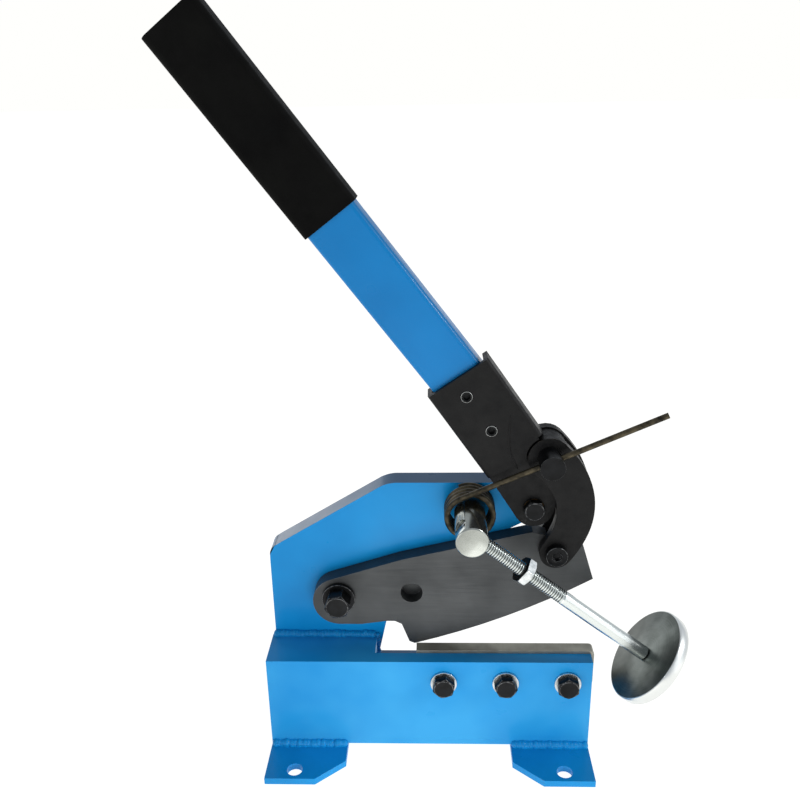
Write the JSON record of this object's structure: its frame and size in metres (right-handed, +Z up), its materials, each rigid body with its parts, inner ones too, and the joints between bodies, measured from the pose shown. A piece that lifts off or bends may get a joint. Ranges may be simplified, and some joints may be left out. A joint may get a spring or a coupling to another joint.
{
  "type": "bench shear",
  "caption": "Hand bench shear: a long lever pulls a pivoted blade down past a fixed one through curved links, with a sprung return and a swinging hold-down.",
  "frame": {"origin": "middle of the left foot's underside", "axes": "+X along the blades to the right, +Y to the rear, +Z up from the bench"},
  "size_m": [0.3274, 0.1207, 0.5019],
  "materials": {
    "blue_paint": "glossy bright blue enamel, sprayed over welded steel",
    "black_steel": "black oxide, satin",
    "blade_steel": "hardened blade steel, dark grey, fine grinding marks",
    "ground_steel": "ground bare steel with a warm tarnish",
    "zinc": "bright zinc plating",
    "bronze": "oiled bearing bronze",
    "vinyl": "matt black dipped vinyl",
    "spring_steel": "oil-tempered spring wire, brown-black"
  },
  "bodies": {
    "frame": {"frame_plate": "blue_paint", "jaw_spacer": "blue_paint", "base_bar": "blue_paint", "left_foot": "blue_paint", "right_foot": "blue_paint", "frame_weld": "blue_paint", "left_foot_weld": "blue_paint", "right_foot_weld": "blue_paint", "lower_blade": "ground_steel", "blade_bolt_1": "black_steel", "blade_bolt_2": "black_steel", "blade_bolt_3": "black_steel", "blade_washer_1": "zinc", "blade_washer_2": "zinc", "blade_washer_3": "zinc", "pivot_bolt": "black_steel", "pivot_washer": "black_steel", "pivot_nut": "zinc", "lever_bolt": "black_steel", "lever_nut": "zinc"},
    "blade": {"upper_blade": "blade_steel", "blade_bush": "bronze"},
    "lever": {"lever_plate": "black_steel", "lever_sleeve": "black_steel", "handle_tube": "blue_paint", "handle_grip": "vinyl", "set_screw_1": "zinc", "set_screw_2": "zinc", "lever_bush": "bronze"},
    "links": {"front_link": "black_steel", "rear_link": "black_steel", "link_screw": "black_steel", "link_nut": "zinc"},
    "spring_pin": {"spring_pin": "black_steel", "spring_pin_clip": "zinc"},
    "spring": {"torsion_spring": "spring_steel"},
    "hold_down": {"hold_down_post": "ground_steel", "hold_down_nut": "zinc"},
    "rod": {"hold_down_rod": "zinc", "pressure_pad": "zinc"},
    "jam_nut": {"jam_nut": "zinc"}
  },
  "joints": [
    {"name": "lever_pivot", "type": "hinge", "parent": "frame", "child": "lever", "pos_m": [0.1571, 0.0035, 0.185], "axis": [0, 1, 0], "range_deg": [0, 90], "stiffness_Nm_per_rad": 1.2, "springref_deg": -22.92},
    {"name": "blade_pivot", "type": "hinge", "parent": "frame", "child": "blade", "pos_m": [0.0235, 0.0035, 0.1155], "axis": [0, 1, 0], "range_deg": [0, 15.4]},
    {"name": "link_pivot", "type": "hinge", "parent": "lever", "child": "links", "pos_m": [0.16514, 0.0035, 0.2245], "axis": [0, 1, 0], "range_deg": [-63.2, 0]},
    {"name": "spring_pin_swivel", "type": "hinge", "parent": "lever", "child": "spring_pin", "pos_m": [0.16514, 0.0035, 0.2245], "axis": [0, 1, 0], "range_deg": [-50.6, 0]},
    {"name": "spring_swing", "type": "hinge", "parent": "frame", "child": "spring", "pos_m": [0.1143, 0.0035, 0.1816], "axis": [0, 1, 0], "range_deg": [0, 39.8]},
    {"name": "hold_down_swing", "type": "hinge", "parent": "frame", "child": "hold_down", "pos_m": [0.1143, 0.0035, 0.1816], "axis": [0, 1, 0], "range_deg": [-34, 2]},
    {"name": "rod_screw", "type": "slide", "parent": "hold_down", "child": "rod", "axis": [0.7902, 0, -0.6129], "range_m": [-0.003, 0.008]},
    {"name": "jam_nut_travel", "type": "slide", "parent": "rod", "child": "jam_nut", "axis": [0.7902, 0, -0.6129], "range_m": [-0.02, 0.018]}
  ],
  "couplings": [
    {"joint": "blade_pivot", "follows": "lever_pivot", "ratio": 0.17},
    {"joint": "link_pivot", "follows": "lever_pivot", "ratio": -0.7},
    {"joint": "spring_pin_swivel", "follows": "lever_pivot", "ratio": -0.56},
    {"joint": "spring_swing", "follows": "lever_pivot", "ratio": 0.44}
  ]
}
